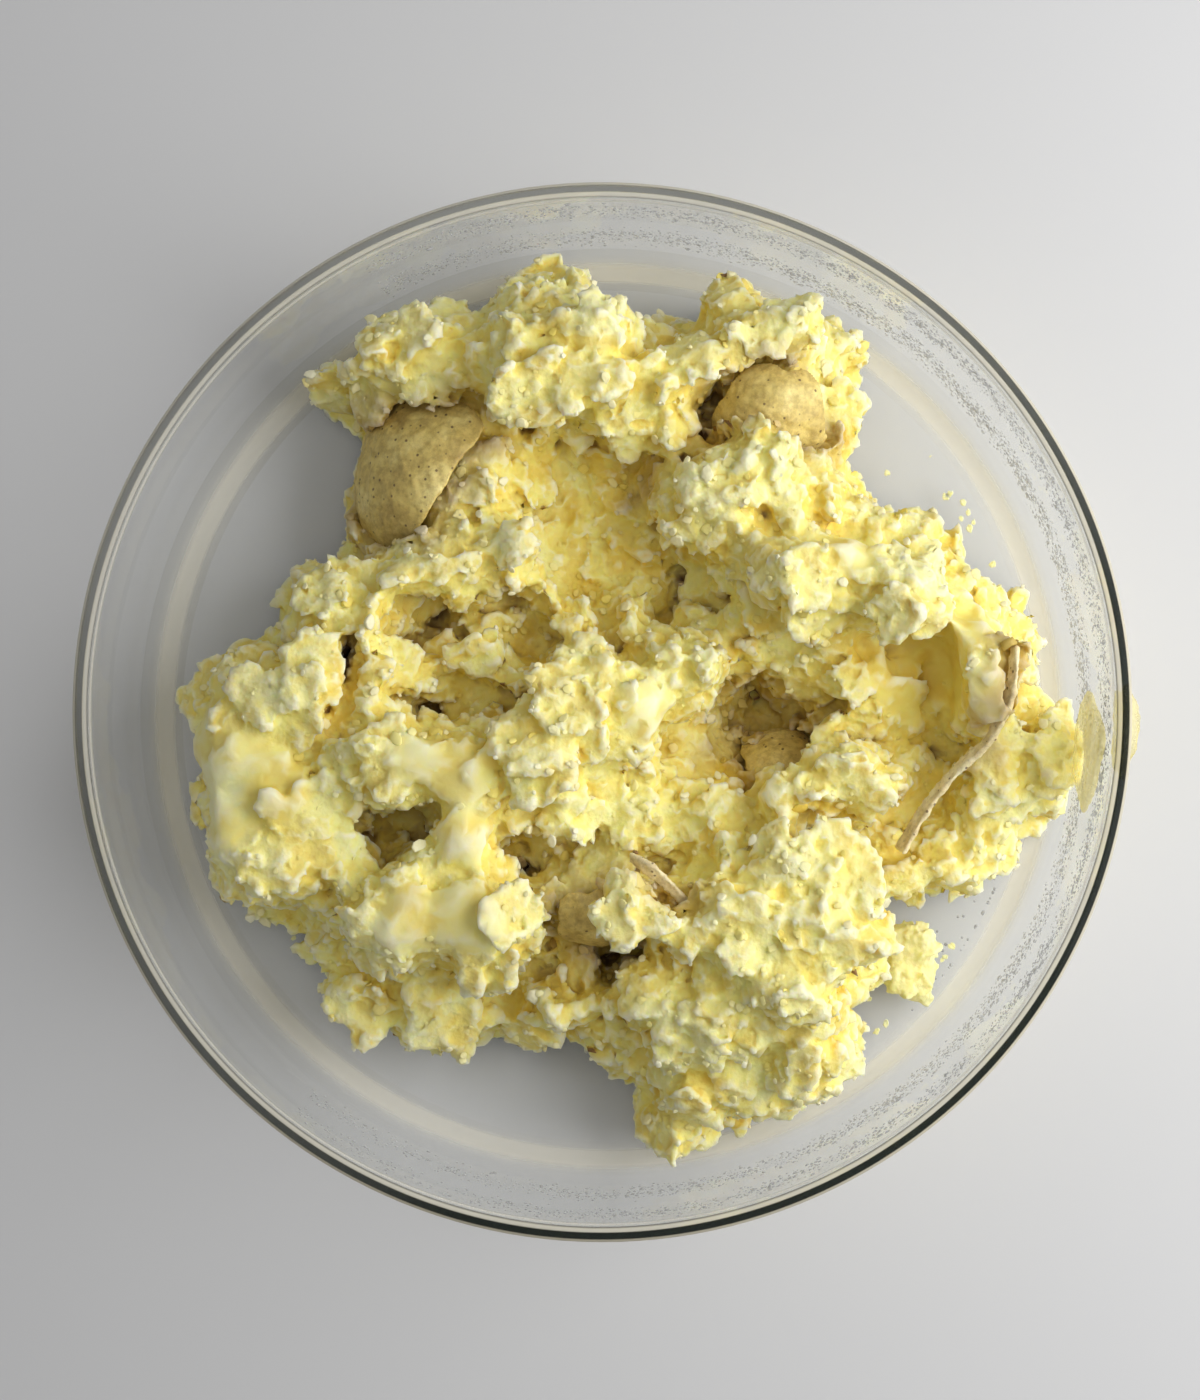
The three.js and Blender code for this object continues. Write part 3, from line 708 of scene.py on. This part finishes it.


# %% [markdown]
# ### How deep each spot lies
# Deep creases look browner, because light bounces there from yellow to yellow. Where a ray
# meets the heap again soon, the spot is shut in, so a handful of rays from every vertex
# measures how open it is. The material paints a brown shade into the shut-in spots from it.

# %% Openness of each vertex
def hemisphere(count):
    """Evenly spread directions over the upper half of a sphere."""
    turns = [i * math.pi * (3 - math.sqrt(5)) for i in range(count)]
    rises = [(i + 0.5) / count for i in range(count)]
    return [Vector((math.cos(t) * math.sqrt(1 - h), math.sin(t) * math.sqrt(1 - h), math.sqrt(h)))
            for t, h in zip(turns, rises)]


def openness(shape, near, far, count=10):
    """The share of rays from each vertex that go free, for a near and for a far reach."""
    tree, rays = BVHTree.FromBMesh(shape), hemisphere(count)
    shape.normal_update()
    levels = np.ones((len(shape.verts), 2))
    for i, v in enumerate(shape.verts):
        turn = v.normal.to_track_quat("Z", "Y")
        start = v.co + v.normal * 0.25 * MM
        for ray in rays:
            away = tree.ray_cast(start, turn @ ray, far)[3]
            if away is not None:
                levels[i, 1] -= 1 / count
                levels[i, 0] -= (away < near) / count
    return levels[:, 0], levels[:, 1]


# %% Crests, browning by the skins, and painted shade in hollows
def crests(shape, rounds=3):
    """How far each vertex stands out of its smoothed surroundings, in mm."""
    shape.verts.index_update()
    pairs = np.array([[v.index for v in e.verts] for e in shape.edges])
    spots = places(shape)
    flat = spots.copy()
    links = np.bincount(pairs.ravel(), minlength=len(spots))[:, None]
    for _ in range(rounds):
        total = np.zeros_like(flat)
        for side in (0, 1):
            near, far = pairs[:, side], pairs[:, 1 - side]
            for axis in range(3):
                total[:, axis] += np.bincount(near, flat[far, axis], len(flat))
        flat = total / links
    return ((spots - flat) * normals(shape)).sum(1) / MM


# Middles (x, y, z) and radii of deep hollows where a brown shade is painted into the flesh.
SHADED_HOLLOWS = [((33, -6, 16), 17), ((2, -44, 22), 10), ((8, 46, 26), 8), ((24, 52, 30), 9)]  # mm


def stained(points):
    """1 next to skin, where flesh has browned, and in a few deep hollows, where a brown shade is
    painted; fading to 0.
    """
    skins, levels = skin_sheets(), np.zeros(len(points))
    for i, p in enumerate(points):
        away = (skins.find_nearest(Vector(p))[3] or 1) / (6 * MM)
        for (x, y, z), radius in SHADED_HOLLOWS:
            away = min(away, (Vector(p) - Vector((x, y, z)) * MM).length / (radius * MM))
        levels[i] = max(0, min(1, 1.15 - away + 0.5 * noise.noise(Vector(p) / (5 * MM))))
    return levels


# %% What the flesh material reads
def store(thing, **shades):
    """Stores each shade on the mesh, as one level a vertex or as one level for all."""
    for name, levels in shades.items():
        layer = thing.data.attributes.new(name, "FLOAT", "POINT")
        layer.data.foreach_set("value", np.zeros(len(thing.data.vertices)) + levels)


near, far = openness(core, 5 * MM, 28 * MM)
spots, facing = places(core), normals(core)
tone_layer = core.verts.layers.float["tone"]
shades = {
    "open_near": near, "open_far": far, "crest": crests(core), "calm": smoothness(spots),
    "upward": np.clip(facing[:, 2], 0, 1), "stain": stained(spots),
}
tones = np.array([v[tone_layer] for v in core.verts])
print("openness", near.mean().round(2), far.mean().round(2), "crests",
      np.percentile(shades["crest"], [5, 50, 95]).round(2))

# %% [markdown]
# ### Potato flesh
# Light goes a little way into boiled potato and comes out yellower, and floury edges are white;
# creases and sides get a painted brown and golden shade. One painted picture could hold all that,
# but it would have to be unwrapped. The stored shades say where a spot lies, so the colours follow
# the shape by themselves.

# %% Potato colours
def read(tree, name):
    return node(tree, "Attribute", {"attribute_name": name}).outputs["Fac"]


def potato_colours(tree):
    near, far = read(tree, "open_near"), read(tree, "open_far")
    # Shut-in spots get a painted brown shade, from how open they are.
    depth = node(tree, "Mix", {"data_type": "FLOAT"}, _0=0.35, _2=far, _3=near).outputs[0]
    shaded_flesh = ramp(tree, depth, [
        (0.05, (0.25, 0.155, 0.08)), (0.17, (0.53, 0.39, 0.14)), (0.36, (0.92, 0.78, 0.22)),
        (0.70, (0.96, 0.87, 0.295)), (1.0, (0.925, 0.87, 0.41)),
    ])
    broad = speckle(tree, 14 * MM, 3, 0.55)
    gold = ramp(tree, broad, [(0.40, (1, 1, 1)), (0.62, (1.0, 0.925, 0.68))])
    shaded_flesh = blend(tree, 0.8, shaded_flesh, gold, "MULTIPLY")
    plate = ramp(tree, read(tree, "tone"), [
        (0.22, (0.91, 0.84, 0.60)), (0.50, (0.98, 0.97, 0.90)), (0.78, (1.0, 1.03, 1.20)),
    ])
    shaded_flesh = blend(tree, 1.0, shaded_flesh, plate, "MULTIPLY")
    # Sides that face away from the sky get a painted golden shade, and tops stay lighter.
    painted_side_shade = ramp(tree, read(tree, "upward"), [(0.1, (1.0, 0.95, 0.78)), (0.75, (1.0, 1.0, 1.0))])
    shaded_flesh = blend(tree, 0.8, shaded_flesh, painted_side_shade, "MULTIPLY")
    floury = between(tree, read(tree, "crest"), 0.10, 0.90)
    floured = blend(tree, floury, shaded_flesh, (0.92, 0.88, 0.63))
    # Next to the skins this brown is real browning; in the listed hollows it is painted shade.
    return blend(tree, read(tree, "stain"), floured, (0.62, 0.52, 0.46), "MULTIPLY")


# %% Potato flesh
def dress_potato(tree, surface, glow=0.8):
    """glow is the share of the light that goes into the flesh."""
    wet = speckle(tree, 3 * MM, 3, 0.6, seed=11.0)
    even, flat = between(tree, read(tree, "calm"), 0.0, 1.2), (0.5, 0.5, 0.5)
    cells = blend(tree, even, speckle(tree, 0.9 * MM, kind="Voronoi", seed=2.0), flat)
    dust = blend(tree, even, speckle(tree, 0.7 * MM, 4, 0.7, seed=5.0), flat)
    fill(
        tree, surface, Base_Color=potato_colours(tree),
        Roughness=ramp(tree, wet, [(0.35, 0.42), (0.65, 0.68)]), Specular_IOR_Level=0.35,
        Subsurface_Weight=glow, Subsurface_Radius=(1.0, 0.85, 0.42), Subsurface_Scale=1.5 * MM,
        Normal=raised(tree, dust, 0.30 * MM, 0.5, raised(tree, cells, 0.25 * MM, 0.45)),
    )


potato_flesh, tree, surface = new_material("potato_flesh")
dress_potato(tree, surface)
heap = finished("crushed_potato", core, potato_flesh)  # its mesh already holds the tone
store(heap, **shades)
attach(heap, "root")
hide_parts("potato_heap")
print("heap", [round(v / MM, 1) for v in heap.dimensions])

# %% [markdown]
# ### Loose grains
# The torn edges shed grains like coarse meal. Modelling each by hand would take days, and
# particles can't be kept as a mesh, so seeded random lumps with few faces are set on the
# surface of the heap and joined into one mesh. Each takes the shades of its spot on the heap.

# %% Loose grains on the heap
GRAINS = 3200
rng = random.Random(7)
likes = (1.05 - shades["calm"]) * (0.15 + shades["open_near"]) * (spots[:, 2] > 8 * MM)
hosts = rng.choices(range(len(likes)), likes, k=GRAINS)
grain_hosts = []  # the heap's vertex under each vertex of a grain


def set_grain(shape, k):
    i = hosts[k]
    radius = min(rng.lognormvariate(-0.65, 0.40), 1.4) * MM
    thick = radius * rng.uniform(0.7, 1.1)
    outward = Vector(facing[i])
    place = Matrix.Translation(Vector(spots[i]) - outward * thick * 0.18)
    turn = tipped(outward, rng, 0.4)
    size = (radius * rng.uniform(0.9, 1.5), radius, thick)
    grain_hosts.extend([i] * torn_flake(shape, size, place @ turn, rng, points=8))


grains = joined(GRAINS, set_grain)
move_to(grains, inside_bowl(places(grains)))
potato_grain, tree, surface = new_material("potato_grain")
dress_potato(tree, surface, glow=0.1)
grains = finished("loose_grains", grains, potato_grain)
for label, levels in {**shades, "tone": tones}.items():
    store(grains, **{label: np.clip(levels[grain_hosts], 0, 1)})
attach(grains, "root")
print("grains", len(grains.data.polygons), "faces")

# %% [markdown]
# ### The skins
# The potatoes were crushed unpeeled, so patches and curled ribbons of thin tan skin lie in the
# heap. A skin is a sheet under a millimetre thick that wrinkles as it dries. Cloth simulation
# could crumple it, but the frame already gives each sheet its bend, so a copy is welded fine
# and wrinkles are pressed into it.

# %% Peel finish
def dress_peel(tree, surface, tans):
    """Speckled skin. tans gives the dark, middle and light tone."""
    broad = speckle(tree, 9 * MM, 3, 0.6, seed=1.0)
    tone = ramp(tree, broad, list(zip((0.30, 0.50, 0.72), tans)))
    fine = speckle(tree, 1.6 * MM, 4, 0.7, seed=4.0)
    mottle = ramp(tree, fine, [(0.36, (0.72, 0.66, 0.56)), (0.58, (1.08, 1.06, 1.0))])
    tone = blend(tree, 0.8, tone, mottle, "MULTIPLY")
    cells = speckle(tree, 2.1 * MM, kind="Voronoi", seed=9.0)
    dots = ramp(tree, cells, [(0.10, 0.85), (0.17, 0.0)])
    creases = raised(tree, speckle(tree, 1.3 * MM, 5, 0.65, seed=6.0), 0.25 * MM, 0.6)
    fill(
        tree, surface, Base_Color=blend(tree, dots, tone, (0.13, 0.075, 0.03)), Roughness=0.55,
        Subsurface_Weight=0.15, Subsurface_Radius=(1.0, 0.7, 0.35), Subsurface_Scale=0.6 * MM,
        Normal=raised(tree, dots, 0.1 * MM, 0.5, creases),
    )


potato_peel, tree, surface = new_material("potato_peel")
dress_peel(tree, surface, [(0.50, 0.365, 0.115), (0.73, 0.575, 0.185), (0.90, 0.77, 0.32)])
pale_peel, tree, surface = new_material("pale_peel")
dress_peel(tree, surface, [(0.76, 0.62, 0.34), (0.88, 0.77, 0.48), (0.96, 0.90, 0.66)])
print("peel finishes:", potato_peel.name, pale_peel.name)


# %% Wrinkled sheets
def wrinkled(point, size, seed):
    """Long soft folds, closer together one way than the other."""
    across, along = point.x * 0.7 + point.y * 0.7, (point.y - point.x) * 0.35
    spot = Vector((across, along, point.z)) / size
    return 1 - abs(noise.noise(spot + Vector((seed, 0, seed)))) * 3


for i, name in enumerate(SKINS):
    sheet = welded(merged_copy(name), 0.42 * MM)
    still = np.zeros(len(sheet.verts))
    roughened(sheet, [(wrinkled, 5.0, 0.22, i * 5.3), (ragged, 1.4, 0.12, i * 3.1)], still)
    peel = pale_peel if "ribbon" in name else potato_peel
    thing = finished(name.replace("skin", "peel"), sheet, peel)
    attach(thing, "root")
    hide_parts(name)
    print(thing.name, len(thing.data.polygons), "faces")

# %% [markdown]
# ### Strays
# One lump fell beside the heap, and a smear of potato sits on the rim at the right, where
# the masher was knocked clean. The lump gets the heap's flesh and a few torn lumps of its own.
# The smear is a film that the glass shows through, so its finish is half see-through.

# %% Smear finish
potato_smear, tree, surface = new_material("potato_smear")
floury = raised(tree, speckle(tree, 1.1 * MM, 4, 0.7, seed=5.0), 0.3 * MM, 0.6)
fill(tree, surface, Base_Color=(0.97, 0.90, 0.50, 1), Roughness=0.45, Normal=floury)
through = node(tree, "BsdfTransparent", Color=(1.0, 0.975, 0.83, 1))
thin = ramp(tree, speckle(tree, 6 * MM, 3, 0.6, seed=3.0), [(0.35, 0.58), (0.70, 0.85)])
shown_by(tree, node(tree, "MixShader", _0=thin, _1=surface.outputs[0], _2=through.outputs[0]))
print("smear finish:", potato_smear.name)


# %% Small pieces of flesh
def buried(lump, count, rng):
    """The lump with count small torn lumps on it."""
    found = [
        (rng.uniform(0.8, 2.0) * MM, rng.uniform(0.6, 1.0) * MM,
         Matrix.Translation(spot) @ tipped(normal, rng, 0.5))
        for spot, normal in spots_on(lump, count, rng)
    ]
    return with_lumps(lump, found, rng)


def small_flesh(lump, name, called, voxel, seed, rough, finish, keep=lambda spots: spots):
    """Welds and roughens a copy of a small frame node, and puts it in the node's place."""
    lump = welded(lump, voxel)
    roughened(lump, [(ragged, 2.0, 0.3 * rough, seed), (ragged, 0.9, 0.22 * rough, seed * 2.0)],
              np.zeros(len(lump.verts)))
    move_to(lump, keep(places(lump)))
    levels = crests(lump)
    thing = finished(called, lump, finish)
    store(thing, open_near=1, open_far=1, crest=levels, calm=0, tone=1, upward=1, stain=0)
    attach(thing, "root")
    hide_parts(name)
    print(called, len(thing.data.polygons), "faces")


lump = merged_copy("loose_lump")
bmesh.ops.triangulate(lump, faces=lump.faces)
lump.normal_update()
lump = buried(lump, 40, random.Random(5))
small_flesh(lump, "loose_lump", "fallen_lump", 0.4 * MM, 5, 0.7, potato_flesh, inside_bowl)


# %% Smears on the rim
def slid_down(spot):
    """Draws the inner smear down the wall, which leans in a little towards its foot."""
    drop_by = (66 * MM - spot.z) * 0.5
    wander = noise.noise_vector(spot / (7 * MM)) * 3.5 * MM
    sideways = (spot.y + 7.5 * MM) * 0.1 + wander.y
    return Vector((-drop_by * LEAN / LEAN_OVER, sideways, -drop_by + min(0, wander.z)))


def pushed_up(spot):
    """Brings the outer smear up against the rim."""
    wander = noise.noise_vector(spot / (7 * MM)) * 2.5 * MM
    return Vector((0, wander.y, 7 * MM + wander.z))


for side, seed, shift in (("inside", 6, slid_down), ("outside", 8, pushed_up)):
    smear = merged_copy("smear_" + side)
    for v in smear.verts:
        v.co += shift(v.co)
    bmesh.ops.triangulate(smear, faces=smear.faces)
    small_flesh(smear, "smear_" + side, "rim_smear_" + side, 0.35 * MM, seed, 0.5, potato_smear)

# %% [markdown]
# ## Mist and crumbs on the glass
# Warm potato fogs the cold wall: fine drops sit in two bands on the right half, with a few
# larger ones on the floor, and some crumbs fell off. Each drop could be a ball, but half of it
# would be buried in the glass, so a low cone with a clipped tip is enough.

# %% Drops of condensation
water = pane("water_drop", (0.74, 0.745, 0.74), 0.25)
rng = random.Random(12)


def drop(shape, spot, outward, radius):
    made = bmesh.ops.create_cone(
        shape, cap_ends=True, segments=5, radius1=1.0, radius2=0.5, depth=0.5,
    )["verts"]
    turn = outward.to_track_quat("Z", "Y").to_matrix().to_4x4()
    place = Matrix.Translation(spot) @ turn @ Matrix.Scale(radius, 4)
    bmesh.ops.transform(shape, verts=made, matrix=place)


def wall_drop(shape, k):
    """A drop in one of the two bands, thinning out towards the left."""
    while True:
        degrees = rng.gauss(10, 75)
        if -128 < degrees < 118:
            break
    upper = rng.random() < 0.45
    height = rng.triangular(48, 69, 60) if upper else rng.triangular(15, 42, 30)
    patch = noise.noise(Vector((degrees / 9, height / 9, 0)))
    radius = rng.lognormvariate(-1.6, 0.38) * (1.15 + 0.5 * patch) * MM
    reach = WALL_FOOT + (height - FLOOR) * LEAN / LEAN_OVER
    east, north = math.cos(math.radians(degrees)), math.sin(math.radians(degrees))
    spot = Vector((east * reach, north * reach, height)) * MM
    drop(shape, spot, Vector((-east, -north, 0.04)), radius)


# %% Places on the floor
WET_PLACES = [(83, -26, 4), (70, -50, 4), (76, -38, 6), (84, 22, 4), (78, -30, 3)]
CRUMB_PLACES = [  # x, y and spread in mm
    (-71, 9.5, 1.5), (-63, -43, 5), (82, -30, 4), (60, -58, 7), (72, 40, 6), (78, 26, 4),
]


def floor_spot(choices, limit):
    """A spot near one of the places and no further than limit from the axis, in mm."""
    x, y, spread = rng.choice(choices)
    spot = Vector((rng.gauss(x, spread), rng.gauss(y, spread), 0))
    if spot.length > limit:
        spot *= limit / spot.length
    return spot


def floor_drop(shape, k):
    spot = floor_spot(WET_PLACES, 86) + Vector((0, 0, 5.02))
    drop(shape, spot * MM, Vector((0, 0, 1)), rng.uniform(0.15, 0.42) * MM)


for name, maker, count in (("wall_mist", wall_drop, 10500), ("floor_drops", floor_drop, 70)):
    mist = finished(name, joined(count, maker), water)
    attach(mist, "root")
    print(name, len(mist.data.polygons), "faces")


# %% Crumbs on the floor
def floor_crumb(shape, k):
    spot = floor_spot(CRUMB_PLACES, 84)
    radius = rng.uniform(0.25, 0.95)
    place = Matrix.Translation((spot + Vector((0, 0, 5.1 + radius * 0.3))) * MM)
    turn = Matrix.Rotation(rng.uniform(0, 6), 4, "Z")
    size = (radius * MM, radius * 0.8 * MM, radius * 0.8 * MM)
    torn_flake(shape, size, place @ turn, rng)


crumbs = finished("floor_crumbs", joined(60, floor_crumb), potato_flesh, smooth=False)
store(crumbs, open_near=0.9, open_far=0.9, crest=0.3, calm=0, tone=0.7, upward=0.8, stain=0)
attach(crumbs, "root")
print("floor crumbs", len(crumbs.data.polygons), "faces")
